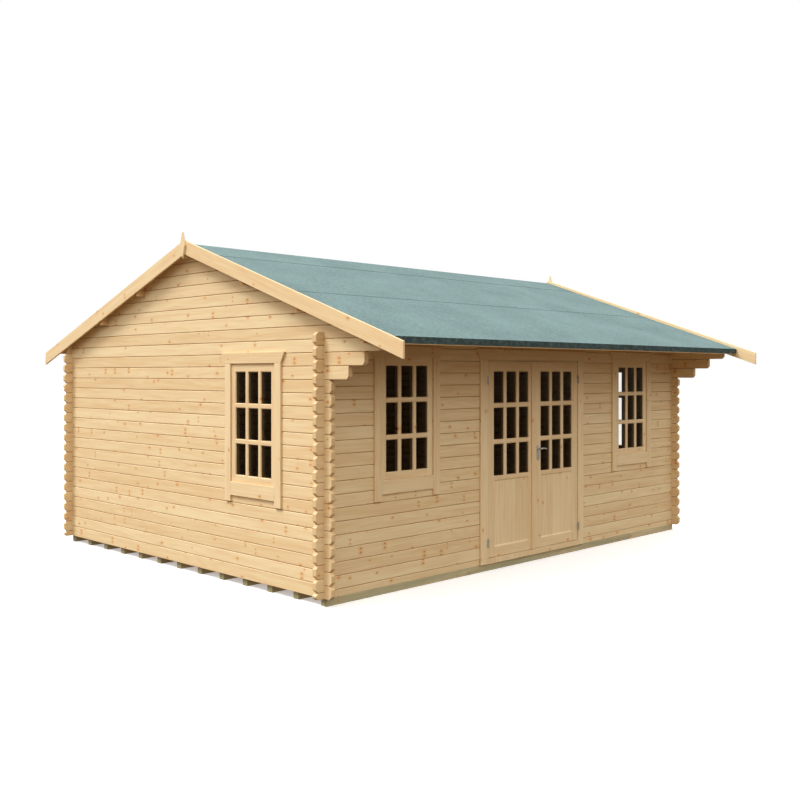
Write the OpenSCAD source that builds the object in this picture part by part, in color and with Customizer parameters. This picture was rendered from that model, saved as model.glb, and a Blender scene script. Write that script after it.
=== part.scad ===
// Log cabin of interlocking machined logs, with a double door, four windows and a felted
// ridge roof that reaches forward over the door on stepped log ends.
// X runs along the front wall, Y runs from front to back with the ridge at Y = 0,
// and Z is up from the ground under the floor bearers. Millimetres.

/* [Cabin] */
// Width of the log walls, over the gable walls
wall_w = 5725; // [4700:5:7500]
// Depth of the log walls, over the front and back walls
wall_d = 4520; // [3700:5:5600]
// Height of the roof felt at the eaves, above the ground
eaves_h = 2240; // [2200:5:2500]
// Slope of the roof in degrees
roof_pitch = 19.3; // [16:0.1:24]

/* [Logs] */
// Height of one log course
log_h = 114; // [94:1:140]
// Thickness of the logs
log_t = 44; // [36:1:56]
// How far the log ends stand past the wall they cross
stub = 90; // [60:5:110]
// Cut corner on the log ends
nip = 29; // [10:1:34]
// Depth of the V groove where two logs meet
groove = 6; // [3:1:9]
// How far the longest corbel log stands out in front
corbel_reach = 680; // [560:10:700]
// Cut corner under the end of each corbel log
corbel_nip = 27; // [10:1:34]
// How much each lower corbel log stands back
corbel_step = 190; // [150:5:210]
// Number of corbel logs under each front corner of the roof
corbel_count = 3; // [2:1:3]

/* [Floor] */
// Width of each floor bearer
bearer_w = 70; // [38:1:80]
// Height of each floor bearer
bearer_h = 70; // [38:1:80]
// How far the bearers' ends stand in from the faces of the gable walls
bearer_in = 25; // [0:1:35]
// Number of floor bearers
bearer_count = 13; // [8:1:15]
// Thickness of the floor boards
floor_t = 19; // [16:1:28]

/* [Roof] */
// Overhang of the felt in front of the front wall
front_over = 789; // [720:1:900]
// Overhang of the felt behind the back wall
back_over = 201; // [150:1:400]
// Overhang of the roof boards past each gable wall
side_over = 82; // [60:1:140]
// Thickness of the roof boards
board_t = 19; // [16:1:28]
// Thickness of the roof felt
felt_t = 3; // [2:0.5:6]
// Height of the felt band turned down at the eaves
felt_drop = 56; // [40:1:70]
// Reach of the ridge felt down each slope
cap_reach = 411; // [250:1:600]
// Thickness of the batten along the eaves
batten_t = 22; // [16:1:30]
// Width of the purlins
purlin_w = 44; // [36:1:60]
// Height of the purlins
purlin_h = 114; // [90:1:120]

/* [Bargeboards] */
// Width of the bargeboards, square to their edges
barge_w = 129; // [110:1:170]
// Thickness of the bargeboards
barge_t = 20; // [15:1:28]
// Height of the bargeboards' top edge over the felt
barge_up = 34; // [20:1:50]
// How far the bargeboards run past the felt at the eaves
barge_over = 236; // [120:1:280]
// Height of the finial boards
finial_h = 260; // [200:5:320]
// Width of the finial boards
finial_w = 85; // [60:1:110]

/* [Door] */
// Width between the door trims
door_w = 1537; // [1280:1:1850]
// Height of the top of the leaves above the wall foot
door_top = 1999; // [1900:1:2020]
// Height of the bottom of the leaves above the wall foot
door_foot = 60; // [50:1:70]
// Thickness of the door leaves
leaf_t = 40; // [34:1:44]
// Width of the stiles and the top rail of a leaf
stile_w = 102; // [85:1:120]
// Width of the bars between the panes of a leaf
door_bar = 48; // [35:1:60]
// Height of the bottom of the door glass above the wall foot
door_sill = 859; // [800:1:900]
// Height of the lever handle above the wall foot
handle_z = 1092; // [1000:1:1150]
// Length of the lever handle
lever_l = 100; // [80:1:130]

/* [Windows] */
// Width of a window sash
sash_w = 655; // [540:1:770]
// Height of a window sash
sash_h = 1070; // [960:1:1080]
// Width of the sash frame around the glass
sash_rail = 63; // [50:1:80]
// Width of the bars between the panes
window_bar = 45; // [30:1:50]
// Distance from a corner of the walls to the middle of each window
window_in = 984; // [900:1:1100]
// Height of the front sashes' bottom above the wall foot
front_sill = 940; // [930:1:950]
// Height of the gable sashes' bottom above the wall foot
gable_sill = 882; // [870:1:900]
// Thickness of the sheets of glass
glass_t = 4; // [3:1:6]

/* [Trims] */
// Width of the trim boards beside the door
trim_w = 105; // [90:1:120]
// Width of the trim boards beside the windows
window_trim_w = 88; // [75:1:120]
// Thickness of the trim boards
trim_t = 20; // [16:1:26]
// Height of the head boards
head_h = 100; // [80:1:130]
// Height of the head boards above the sash or the doorway under them
head_gap = 15; // [2:1:30]
// How far the head boards' top corners lean out past the side boards
head_lean = 55; // [20:1:60]
// Height of the board under a window
apron_h = 126; // [100:1:150]
// How far the side boards run on below a sash
leg = 186; // [140:1:240]

/* [Hidden] */
$fn = 32;

// Overall places
slope = tan(roof_pitch);
run = (wall_d + front_over + back_over) / 2;
half_w = wall_w / 2;
front_y = front_over - run;
back_y = front_y + wall_d;
foot = bearer_h;
roof_x = half_w + side_over;
high = eaves_h + run * slope + 100;
roof_seat = 0.3;
floor_gap = 4;
eps = 1;

// Heights at a place y of the top of the felt, of the underside of the boards, of what the
// boards lie on, of the top of the boards, and of what the bargeboards stay above
function felt_z(y) = eaves_h + (run - abs(y)) * slope;
function under_z(y) = felt_z(y) - (felt_t + board_t) / cos(roof_pitch);
function seat_z(y) = under_z(y) - roof_seat;
function board_z(y) = felt_z(y) - felt_t / cos(roof_pitch);
function barge_low(y) = felt_z(y) + barge_up - barge_w / cos(roof_pitch);

// Log courses: the gable logs start whole, the front and back logs start with a half log
front_stubs = floor((under_z(front_y) - foot) / log_h - 1.5);
back_stubs = floor((barge_low(back_y) - foot) / log_h - 0.5);
top_course = ceil(high / log_h);
short_of_roof = 25;
top_corbel = floor((under_z(front_y - corbel_reach) - foot) / log_h) - 1;
peak_course = top_corbel + 1 - corbel_count;
function gable_line(k) = foot + k * log_h;
function front_line(j) = foot + (j + 0.5) * log_h;

// Openings
frame_w = 35;
frame_depth = 60;
door_half = door_w / 2;
gap = 5;
sash_gap = 3;
meeting_gap = 6.4;
meeting_bevel = 4;
stop_in = 20;
threshold_h = door_foot - gap;
leaf_set = 12;
leaf_y = front_y - leaf_set;
door_head = foot + door_top + gap;
head_course = ceil((door_head + frame_w - foot) / log_h - 0.5);
head_line = front_line(head_course);
sash_set = 4;
sash_t = 44;
window_x = half_w - window_in;
window_y = front_y + window_in;
front_sash_z = foot + front_sill;
gable_sash_z = foot + gable_sill;
hole_w = sash_w + 2 * frame_w;
hole_h = sash_h + 2 * frame_w;
glass_in = 8;
glass_deep = 12;
lip = 7;
board_gap = 1;

// Purlins: the fractions of the roof's run at which they lie, with the front one on the corbels
porch_reach = 550;
porch_purlin = front_y - porch_reach;
purlin_at = [porch_purlin, -0.613 * run, -0.331 * run, 0, 0.331 * run, 0.613 * run];

// Door furniture
hinge_r = 7;
hinge_l = 38;
hinge_out = 8.5;
pin_h = 10;
pin_t = 8;
pin_in = 6;
hinge_y = front_y - trim_t - hinge_out;
hinge_zs = [foot + 208, foot + 1812];
handle_in = 50;
handle_x = meeting_gap / 2 + handle_in;
spindle_r = 10;
spindle_gap = 0.05;
plate_w = 40;
plate_drop = 40;
plate_h = 160;
plate_t = 6;
lever_r = 8;
lever_out = 40;
strip_w = 60;
strip_t = 12;

// Shapes drawn as seen from the front, extruded back from y to y + t
module across(y, t) { translate([0, y + t, 0]) rotate([90, 0, 0]) linear_extrude(t) children(); }

// Shapes drawn as seen from the side, with Y to the right, extruded from x to x + t
module along(x, t) { translate([x, 0, 0]) rotate([90, 0, 90]) linear_extrude(t) children(); }

// A rectangle from a low to a high corner
module rect(x0, x1, z0, z1) { translate([x0, z0]) square([x1 - x0, z1 - z0]); }

// A box from a low to a high corner
module block(x0, x1, y0, y1, z0, z1) { translate([x0, y0, z0]) cube([x1 - x0, y1 - y0, z1 - z0]); }

// ---------------------------------------------------------------- logs

// One face of a log wall, as [depth, z] from the bottom up, with a V at each line
function v_face(lines) = [for (z = lines) each [[0, z - groove], [groove, z], [0, z + groove]]];

// Section of a log wall: low face at a, far face at a + log_t, sloped top from z_low to z_far
function log_section(a, lines, z_low, z_far) = concat(
    [[a, foot]],
    [for (p = v_face([for (z = lines) if (z + groove < z_low) z])) [a + p[0], p[1]]],
    [[a, z_low], [a + log_t, z_far]],
    reverse([for (p = v_face([for (z = lines) if (z + groove < z_far) z])) [a + log_t - p[0], p[1]]]),
    [[a + log_t, foot]]);
function reverse(list) = [for (i = [len(list) - 1:-1:0]) list[i]];

// Ends of stacked logs, as [reach, z] from the bottom up, for joint lines given from the bottom.
// The half log at the foot takes a smaller cut corner
function log_ends(lines) = [
    for (i = [0:len(lines) - 2])
        let (cut = min(nip, (lines[i + 1] - lines[i]) * 0.4))
            each [[stub - cut, lines[i]], [stub, lines[i] + cut], [stub, lines[i + 1] - cut]]];

// Front or back wall as seen from the front, whole, before its openings. The logs above its
// stubs reach past the faces of the gable walls by top_reach
module cross_wall_face(stubs, top_reach) {
    lines = concat([foot], [for (j = [0:stubs]) front_line(j)]);
    ends = log_ends(lines);
    top = front_line(stubs);
    crossings = top_reach > 0 ? top_course : stubs;
    shoulder = top_reach > 0 ? [] : [[stub - nip, top]];
    side_face = concat(ends, shoulder, [[top_reach, top], [top_reach, high]]);
    difference() {
        polygon(concat(
            [for (p = side_face) [-half_w - p[0], p[1]]],
            reverse([for (p = side_face) [half_w + p[0], p[1]]])));
        for (k = [0:crossings], side = [-1, 1])
            translate([side * (half_w - log_t / 2), gable_line(k + 0.5)])
                square([log_t, log_h / 2], center = true);
    }
}

// Part of the front wall between two heights and two places along it
module front_wall(x0, x1, z0, z1) {
    lines = [for (j = [0:top_course]) front_line(j)];
    intersection() {
        across(front_y, log_t)
            intersection() {
                difference() {
                    cross_wall_face(front_stubs, -log_t);
                    front_openings();
                }
                rect(x0, x1, z0, z1);
            }
        along(x0, x1 - x0)
            polygon(log_section(front_y, lines, seat_z(front_y), seat_z(front_y + log_t)));
    }
}

// Doorway and window holes of the front wall
module front_openings() {
    rect(-door_half - frame_w, door_half + frame_w, foot - eps, head_line);
    for (side = [-1, 1])
        translate([side * window_x - hole_w / 2, front_sash_z - frame_w])
            square([hole_w, hole_h]);
}

// Gable wall as seen from the side, whole, before it is cut under the roof
module gable_face() {
    low_ends = log_ends([for (k = [0:peak_course]) gable_line(k)]);
    back_ends = log_ends([for (k = [0:top_corbel + 1]) gable_line(k)]);
    corbels = [
        for (k = [peak_course:top_corbel])
            let (reach = corbel_reach - (top_corbel - k) * corbel_step)
                each [[reach - corbel_nip, gable_line(k)], [reach, gable_line(k) + corbel_nip],
                      [reach, k == top_corbel ? high : gable_line(k + 1)]]];
    difference() {
        intersection() {
            polygon(concat(
                [for (p = low_ends) [front_y - p[0], p[1]]],
                [[front_y - stub + nip, gable_line(peak_course)]],
                [for (p = corbels) [front_y - p[0], p[1]]],
                [[back_y + stub - nip, high], [back_y + stub - nip, gable_line(top_corbel + 1)]],
                reverse([for (p = back_ends) [back_y + p[0], p[1]]])));
            roof_underside();
        }
        for (j = [0:front_stubs]) front_core(front_y + log_t / 2, j);
        for (j = [0:top_course]) front_core(back_y - log_t / 2, j);
        purlin_notches();
        translate([window_y - hole_w / 2, gable_sash_z - frame_w]) square([hole_w, hole_h]);
    }
}

// The half-height middle of a front or back log, where it passes through a gable wall
module front_core(y, j) {
    z0 = max(foot, gable_line(j - 0.25));
    rect(y - log_t / 2, y + log_t / 2, z0, gable_line(j + 0.25));
}

// Everything under the roof boards, as seen from the side
module roof_underside() {
    edge = run + stub;
    polygon([[-edge, foot], [-edge, seat_z(edge)], [0, seat_z(0)], [edge, seat_z(edge)], [edge, foot]]);
}

// Part of a gable wall between two heights, on one side of the cabin
module gable_wall(side, z0, z1) {
    x0 = side < 0 ? -half_w : half_w - log_t;
    lines = [for (k = [1:top_course]) gable_line(k)];
    intersection() {
        along(x0, log_t)
            intersection() {
                gable_face();
                rect(-run, run + stub, z0, z1);
            }
        across(-run, 2 * run + stub) polygon(log_section(x0, lines, high, high));
    }
}

module front_wall_left() { color("#d9b27a") front_wall(-half_w - stub, -door_half, foot, head_line); }
module front_wall_right() { color("#d9b27a") front_wall(door_half, half_w + stub, foot, head_line); }
module front_wall_top() { color("#d2aa70") front_wall(-half_w - stub, half_w + stub, head_line, high); }

module back_wall() {
    lines = [for (j = [0:top_course]) front_line(j)];
    color("#d9b27a") intersection() {
        across(back_y - log_t, log_t) cross_wall_face(back_stubs, side_over - short_of_roof);
        along(-half_w - stub, wall_w + 2 * stub)
            polygon(log_section(back_y - log_t, lines, seat_z(back_y - log_t), seat_z(back_y)));
    }
}

module left_gable_wall() { color("#e6c08a") gable_wall(-1, foot, gable_line(peak_course)); }
module left_gable_peak() { color("#e2ba82") gable_wall(-1, gable_line(peak_course), high); }
module right_gable_wall() { color("#e6c08a") gable_wall(1, foot, gable_line(peak_course)); }
module right_gable_peak() { color("#e2ba82") gable_wall(1, gable_line(peak_course), high); }

// ---------------------------------------------------------------- floor

module floor_bearers() {
    pitch = (wall_d - bearer_w) / (bearer_count - 1);
    color("#9c9672")
        for (i = [0:bearer_count - 1])
            block(-half_w + bearer_in, half_w - bearer_in, front_y + i * pitch,
                front_y + i * pitch + bearer_w, 0, bearer_h);
}

module floor_boards() {
    edge = max(log_t, frame_depth) + floor_gap;
    color("#c9a26c")
        block(-half_w + edge, half_w - edge, front_y + edge, back_y - edge, foot, foot + floor_t);
}

// ---------------------------------------------------------------- roof

// Section of a sheet that follows one slope, from the ridge to a distance out, top and low
// faces given by their heights over the felt's top
module slope_sheet(side, out, z_top, z_low) {
    polygon([
        [0, felt_z(0) + z_top], [side * out, felt_z(out) + z_top],
        [side * out, felt_z(out) + z_low], [0, felt_z(0) + z_low]]);
}

// Height of the underside of the purlin at a place y
function purlin_foot(y) = seat_z(y) - purlin_h;

// Sections of the purlins, with their tops cut to the slope
module purlin_sections() {
    for (y = purlin_at) {
        a = y - purlin_w / 2;
        b = y + purlin_w / 2;
        ridge = y == 0 ? [[0, seat_z(0)]] : [];
        low = purlin_foot(y);
        polygon(concat([[b, low], [a, low], [a, seat_z(a)]], ridge, [[b, seat_z(b)]]));
    }
}

// Notches in the tops of the gable walls that the purlins lie in
module purlin_notches() {
    for (y = purlin_at) rect(y - purlin_w / 2, y + purlin_w / 2, purlin_foot(y), high);
}

module roof_purlins() { color("#c99a5e") along(-roof_x, 2 * roof_x) purlin_sections(); }

felt_v = felt_t / cos(roof_pitch);
roof_v = (felt_t + board_t) / cos(roof_pitch);
board_run = run - felt_t;
batten_show = 6;
finial_drop = 52;

// Boards of one slope
module roof_boards(side) {
    color("#c2925a") along(-roof_x, 2 * roof_x) slope_sheet(side, board_run, -felt_v, -roof_v);
}
module front_roof_boards() { roof_boards(-1); }
module back_roof_boards() { roof_boards(1); }

// Battens under the edges of the boards, which the felt is turned down over
module eaves_battens() {
    low = eaves_h - felt_drop - batten_show;
    color("#b98a50")
        for (side = [-1, 1])
            along(-roof_x, 2 * roof_x)
                polygon([
                    [side * board_run, low], [side * board_run, seat_z(board_run)],
                    [side * (board_run - batten_t), seat_z(board_run - batten_t)],
                    [side * (board_run - batten_t), low]]);
}

// Felt of one slope, turned down at the eaves
module roof_felt(side) {
    color("#7fa39c") along(-roof_x, 2 * roof_x)
        polygon([
            [0, felt_z(0)], [side * run, eaves_h], [side * run, eaves_h - felt_drop],
            [side * board_run, eaves_h - felt_drop], [side * board_run, board_z(board_run)],
            [0, board_z(0)]]);
}
module front_roof_felt() { roof_felt(-1); }
module back_roof_felt() { roof_felt(1); }

module ridge_felt() {
    low = felt_z(cap_reach) + roof_seat;
    rise = cap_reach * slope;
    color("#86aaa3") along(-roof_x, 2 * roof_x)
        polygon([
            [-cap_reach, low], [0, low + rise], [cap_reach, low],
            [cap_reach, low + felt_v], [0, low + rise + felt_v], [-cap_reach, low + felt_v]]);
}

// Bargeboard on one gable and one slope, cut plumb at the ridge and at its foot
module bargeboard(gable, side) {
    plumb = barge_w / cos(roof_pitch);
    color("#e8c48f") along(gable < 0 ? -roof_x - barge_t : roof_x, barge_t)
        slope_sheet(side, run + barge_over, barge_up, barge_up - plumb);
}
module left_front_bargeboard() { bargeboard(-1, -1); }
module left_back_bargeboard() { bargeboard(-1, 1); }
module right_front_bargeboard() { bargeboard(1, -1); }
module right_back_bargeboard() { bargeboard(1, 1); }

// Pointed boards over the joints of the bargeboards
module gable_finials() {
    middle = felt_z(0) + barge_up - finial_drop;
    color("#edca96")
        for (x0 = [-roof_x - 2 * barge_t, roof_x + barge_t])
            along(x0, barge_t)
                polygon([
                    [0, middle - finial_h / 2], [finial_w / 2, middle],
                    [0, middle + finial_h / 2], [-finial_w / 2, middle]]);
}

// ---------------------------------------------------------------- trims

// Boards around a hole of width w from z0 to z1, centred on x = 0: a head board, and side
// boards of width side_w with legs below z0
module trim_boards(w, z0, z1, legs, side_w) {
    outer = w / 2 + side_w;
    for (side = [-1, 1])
        translate([side * (w + side_w) / 2 - side_w / 2, z0 - legs])
            square([side_w, z1 - z0 + legs - board_gap]);
    polygon([
        [-outer, z1], [outer, z1],
        [outer + head_lean, z1 + head_h], [-outer - head_lean, z1 + head_h]]);
}

// Trim of a window, with the board below its sash
module window_trim_face(sash_z) {
    w = sash_w + 2 * sash_gap;
    top = sash_z - sash_gap;
    trim_boards(w, sash_z, sash_z + sash_h + head_gap, leg, window_trim_w);
    rect(-w / 2 + board_gap, w / 2 - board_gap, top - apron_h, top);
}

module front_window_trim(side) {
    color("#dbb47c") translate([side * window_x, 0, 0]) across(front_y - trim_t, trim_t)
        window_trim_face(front_sash_z);
}
module gable_window_trim(side) {
    x0 = side < 0 ? -half_w - trim_t : half_w;
    color("#e9c591") translate([0, window_y, 0]) along(x0, trim_t) window_trim_face(gable_sash_z);
}
module front_left_window_trim() { front_window_trim(-1); }
module front_right_window_trim() { front_window_trim(1); }
module left_gable_window_trim() { gable_window_trim(-1); }
module right_gable_window_trim() { gable_window_trim(1); }

module door_trim() {
    color("#dbb47c") across(front_y - trim_t, trim_t)
        trim_boards(door_w, foot, door_head + head_gap, 0, trim_w);
}

// ---------------------------------------------------------------- glazing

// Hole for one pane, w by h from [x, z], through from y0 to y1, with a sloped lip at y0
module pane_hole(x, z, w, h, y0, y1) {
    block(x, x + w, y0 - eps, y1 + eps, z, z + h);
    intersection() {
        translate([0, 0, z - lip]) linear_extrude(h + 2 * lip)
            polygon([[x - lip, y0], [x + w + lip, y0], [x + w, y0 + lip], [x, y0 + lip]]);
        along(x - lip, w + 2 * lip)
            polygon([[y0, z - lip], [y0 + lip, z], [y0 + lip, z + h], [y0, z + h + lip]]);
    }
}

// Holes for a grid of panes that fill w by h from [x, z], and the groove for their one sheet
module pane_grid(x, z, w, h, cols, rows, bar, y0, y1) {
    pane_w = (w - (cols - 1) * bar) / cols;
    pane_h = (h - (rows - 1) * bar) / rows;
    for (i = [0:cols - 1], j = [0:rows - 1])
        pane_hole(x + i * (pane_w + bar), z + j * (pane_h + bar), pane_w, pane_h, y0, y1);
    glass_sheet(x, z, w, h, y0 + glass_deep);
}

// One sheet of glass, let into the frame all round, with its face at y
module glass_sheet(x, z, w, h, y) {
    block(x - glass_in, x + w + glass_in, y, y + glass_t, z - glass_in, z + h + glass_in);
}

// ---------------------------------------------------------------- windows

glass_w = sash_w - 2 * sash_rail;
glass_h = sash_h - 2 * sash_rail;
glass_y = glass_deep - sash_set;

// A window facing -Y with its wall's outer face at y = 0, its sash's bottom middle at [0, 0]
module window() {
    difference() {
        union() {
            block(-hole_w / 2, hole_w / 2, 0, frame_depth, -frame_w, hole_h - frame_w);
            block(-sash_w / 2, sash_w / 2, -sash_set, sash_t / 2, 0, sash_h);
        }
        block(-sash_w / 2 + frame_w, sash_w / 2 - frame_w, sash_t - sash_set, frame_depth + eps,
            frame_w, sash_h - frame_w);
        pane_grid(-glass_w / 2, sash_rail, glass_w, glass_h, 3, 3, window_bar,
            -sash_set, sash_t - sash_set);
    }
}

// Places and turns of the four windows
module at_front_window(side) { translate([side * window_x, front_y, front_sash_z]) children(); }
module at_gable_window(side) {
    translate([side * half_w, window_y, gable_sash_z]) rotate([0, 0, side * 90]) children();
}

module front_left_window() { color("#e0bb84") at_front_window(-1) window(); }
module front_right_window() { color("#e0bb84") at_front_window(1) window(); }
module left_gable_window() { color("#ecc995") at_gable_window(-1) window(); }
module right_gable_window() { color("#ecc995") at_gable_window(1) window(); }

module window_glass() {
    color([0.16, 0.13, 0.11, 0.6])
        for (side = [-1, 1]) {
            at_front_window(side) glass_sheet(-glass_w / 2, sash_rail, glass_w, glass_h, glass_y);
            at_gable_window(side) glass_sheet(-glass_w / 2, sash_rail, glass_w, glass_h, glass_y);
        }
}

// ---------------------------------------------------------------- door

module door_frame() {
    stop_y = leaf_y + leaf_t + gap;
    sill_z = foot + threshold_h;
    color("#cfa568") difference() {
        block(-door_half - frame_w, door_half + frame_w, front_y, front_y + frame_depth, foot, head_line);
        block(-door_half, door_half, front_y - eps, front_y + frame_depth + eps, foot - eps, sill_z);
        block(-door_half, door_half, front_y - eps, stop_y, foot, door_head);
        block(-door_half + stop_in, door_half - stop_in, front_y, front_y + frame_depth + eps,
            foot, door_head - stop_in);
    }
}

module door_threshold() {
    color("#d9b27a")
        block(-door_half, door_half, front_y - trim_t, front_y + frame_depth, foot, foot + threshold_h);
}

// Leaf sizes, from the hinge side at x0 to the meeting side at x1 for the left leaf
leaf_x0 = -door_half + gap;
leaf_x1 = -meeting_gap / 2;
leaf_z0 = foot + door_foot;
leaf_z1 = foot + door_top;
leaf_glass_x = leaf_x0 + stile_w;
leaf_glass_w = leaf_x1 - leaf_x0 - 2 * stile_w;
leaf_glass_z = foot + door_sill;
leaf_glass_h = leaf_z1 - stile_w - leaf_glass_z;
low_rail = 95;
lock_rail = 38;
panel_z0 = leaf_z0 + low_rail;
panel_z1 = leaf_glass_z - lock_rail;
panel_in = 9;
panel_slope = 16;

// Sunk panel with sloped sides, on the face at y0, cut towards y0 + deep
module panel_cut(y0, deep) {
    a = leaf_glass_x;
    b = leaf_glass_x + leaf_glass_w;
    y1 = y0 + deep;
    intersection() {
        translate([0, 0, panel_z0]) linear_extrude(panel_z1 - panel_z0)
            polygon([[a, y0], [b, y0], [b - panel_slope, y1], [a + panel_slope, y1]]);
        along(a, b - a)
            polygon([
                [y0, panel_z0], [y1, panel_z0 + panel_slope],
                [y1, panel_z1 - panel_slope], [y0, panel_z1]]);
    }
}

// The left leaf, or half of what the right one is made from
module leaf() {
    difference() {
        translate([0, leaf_y, leaf_z0]) linear_extrude(leaf_z1 - leaf_z0)
            polygon([[leaf_x0, 0], [leaf_x1, 0], [leaf_x1 - meeting_bevel, leaf_t], [leaf_x0, leaf_t]]);
        pane_grid(leaf_glass_x, leaf_glass_z, leaf_glass_w, leaf_glass_h, 3, 3, door_bar,
            leaf_y, leaf_y + leaf_t);
        panel_cut(leaf_y, panel_in);
        panel_cut(leaf_y + leaf_t, -panel_in);
    }
}
module leaf_glass() {
    glass_sheet(leaf_glass_x, leaf_glass_z, leaf_glass_w, leaf_glass_h, leaf_y + glass_deep);
}

module left_door() {
    color("#e0bb84") {
        leaf();
        block(leaf_x1 - strip_w, leaf_x1, leaf_y - strip_t, leaf_y, leaf_z0, leaf_z1);
    }
}
module left_door_glass() { color([0.16, 0.13, 0.11, 0.6]) leaf_glass(); }

module right_door() {
    color("#e0bb84") difference() {
        mirror([1, 0, 0]) leaf();
        spindle_hole(leaf_y - eps, leaf_t + 2 * eps);
    }
}
module right_door_glass() { color([0.16, 0.13, 0.11, 0.6]) mirror([1, 0, 0]) leaf_glass(); }

// ---------------------------------------------------------------- door furniture

module spindle_hole(y, l) {
    translate([handle_x, y + l, foot + handle_z]) rotate([90, 0, 0]) cylinder(r = spindle_r, h = l);
}

// Upper half of a hinge barrel, with the pin that screws it into the left leaf's face
module leaf_hinge() {
    for (z = hinge_zs)
        translate([-door_half, hinge_y, z]) {
            cylinder(r = hinge_r, h = hinge_l);
            translate([gap, 0, (hinge_l - pin_h) / 2]) cube([pin_in, leaf_y - hinge_y, pin_h]);
            translate([0, -pin_t / 2, (hinge_l - pin_h) / 2]) cube([gap + pin_in, pin_t, pin_h]);
        }
}
module left_door_hinges() { color("silver") leaf_hinge(); }
module right_door_hinges() { color("silver") mirror([1, 0, 0]) leaf_hinge(); }

// Lower halves of the barrels, with the pins that screw them into the trim
module frame_hinges() {
    color("silver")
        for (side = [0, 1], z = hinge_zs)
            mirror([side, 0, 0])
                translate([-door_half, hinge_y, z - hinge_l]) {
                    cylinder(r = hinge_r, h = hinge_l);
                    translate([-pin_t, 0, (hinge_l - pin_h) / 2]) cube([pin_t, hinge_out, pin_h]);
                }
}

// Long plates with round ends on both faces of the right leaf
module door_handle_plates() {
    middle = foot + handle_z - plate_drop;
    reach = plate_h / 2 - plate_w / 2;
    color("#b9bcba")
        for (y = [leaf_y - plate_t, leaf_y + leaf_t])
            difference() {
                across(y, plate_t) {
                    translate([handle_x, middle]) square([plate_w, 2 * reach], center = true);
                    for (end = [-1, 1]) translate([handle_x, middle + end * reach]) circle(d = plate_w);
                }
                spindle_hole(y - eps, plate_t + 2 * eps);
            }
}

// Two lever handles on one spindle, pointing away from the meeting edges
module door_lever() {
    y0 = leaf_y - lever_out;
    y1 = leaf_y + leaf_t + lever_out;
    color("#c3c6c4") translate([handle_x, 0, foot + handle_z]) {
        translate([0, y1, 0]) rotate([90, 0, 0]) cylinder(r = spindle_r - spindle_gap, h = y1 - y0);
        for (y = [y0, y1]) {
            translate([0, y, 0]) rotate([0, 90, 0]) cylinder(r = lever_r, h = lever_l - lever_r);
            translate([lever_l - lever_r, y, 0]) sphere(r = lever_r);
            translate([0, y, 0]) sphere(r = spindle_r - spindle_gap);
        }
    }
}

floor_bearers();
floor_boards();
front_wall_left();
front_wall_right();
front_wall_top();
back_wall();
left_gable_wall();
left_gable_peak();
right_gable_wall();
right_gable_peak();
roof_purlins();
eaves_battens();
front_roof_boards();
back_roof_boards();
front_roof_felt();
back_roof_felt();
ridge_felt();
left_front_bargeboard();
left_back_bargeboard();
right_front_bargeboard();
right_back_bargeboard();
gable_finials();
door_frame();
door_threshold();
door_trim();
frame_hinges();
left_door();
left_door_glass();
left_door_hinges();
right_door();
right_door_glass();
right_door_hinges();
door_handle_plates();
door_lever();
front_left_window();
front_right_window();
left_gable_window();
right_gable_window();
front_left_window_trim();
front_right_window_trim();
left_gable_window_trim();
right_gable_window_trim();
window_glass();
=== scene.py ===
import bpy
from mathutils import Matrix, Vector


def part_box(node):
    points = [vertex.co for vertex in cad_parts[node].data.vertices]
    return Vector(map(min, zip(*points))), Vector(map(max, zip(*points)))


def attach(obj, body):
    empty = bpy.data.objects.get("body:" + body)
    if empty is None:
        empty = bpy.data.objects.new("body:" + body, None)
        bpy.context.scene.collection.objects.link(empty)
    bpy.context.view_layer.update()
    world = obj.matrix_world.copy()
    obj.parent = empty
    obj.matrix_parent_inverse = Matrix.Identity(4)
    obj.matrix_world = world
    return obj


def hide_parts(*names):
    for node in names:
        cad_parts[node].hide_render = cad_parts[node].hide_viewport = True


bl_info = {
    "name": "Log Cabin Finish",
    "version": (1, 0, 0),
    "blender": (4, 5, 0),
    "location": "View3D > Sidebar > Cabin",
    "description": "Boards, felt laps, ironmongery, materials and a studio for the log cabin",
    "category": "Object",
}

import math
import random

import bmesh
import bpy
from mathutils import Matrix, Vector

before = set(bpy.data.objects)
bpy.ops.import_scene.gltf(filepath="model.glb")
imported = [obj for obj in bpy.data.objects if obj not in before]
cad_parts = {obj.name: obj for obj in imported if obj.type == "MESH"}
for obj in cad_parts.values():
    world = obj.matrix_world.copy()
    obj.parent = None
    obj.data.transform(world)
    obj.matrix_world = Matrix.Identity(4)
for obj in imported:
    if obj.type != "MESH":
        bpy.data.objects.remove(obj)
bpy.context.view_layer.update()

# Underside of the lowest logs
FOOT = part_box("back_wall")[0].z

# Roof: its slope, the thickness of its boards, the level distances of the felt laps from the
# ridge, how far the upper sheet starts above its lap and how it thins out, and the bargeboards' width
PITCH = math.radians(19.3)
ROOF_BOARD_T = 0.019
LAPS = (0.411, 1.552)
LAP_START = 0.15
LAP_EDGE = 0.004
BARGE_W = 0.129

# Trims: height and lean of the head boards, widths of the side boards, height of the board under a
# sash, how far the side boards run on below a sash, and the hairlines between these boards
TRIM_HEAD = 0.100
TRIM_LEAN = 0.055
DOOR_TRIM_W = 0.105
WINDOW_TRIM_W = 0.088
APRON_H = 0.126
TRIM_LEG = 0.186
APRON_DROP = 0.003
HAIRLINE = 0.001

# Door leaves, up from their foot: bottom rail, middle rail up to the glass, and top rail, then the
# height of a pane and of the bar over it, and the reach of the rails from the middle of the door
LEAF_FOOT_RAIL = 0.095
LEAF_MIDDLE_RAIL = (0.761, 0.799)
LEAF_TOP_RAIL = 0.102
LEAF_PANE = 0.314
LEAF_BAR = 0.048
LEAF_RAILS = (0.107, 0.66)
DOORWAY_HALF = 0.77

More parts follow.
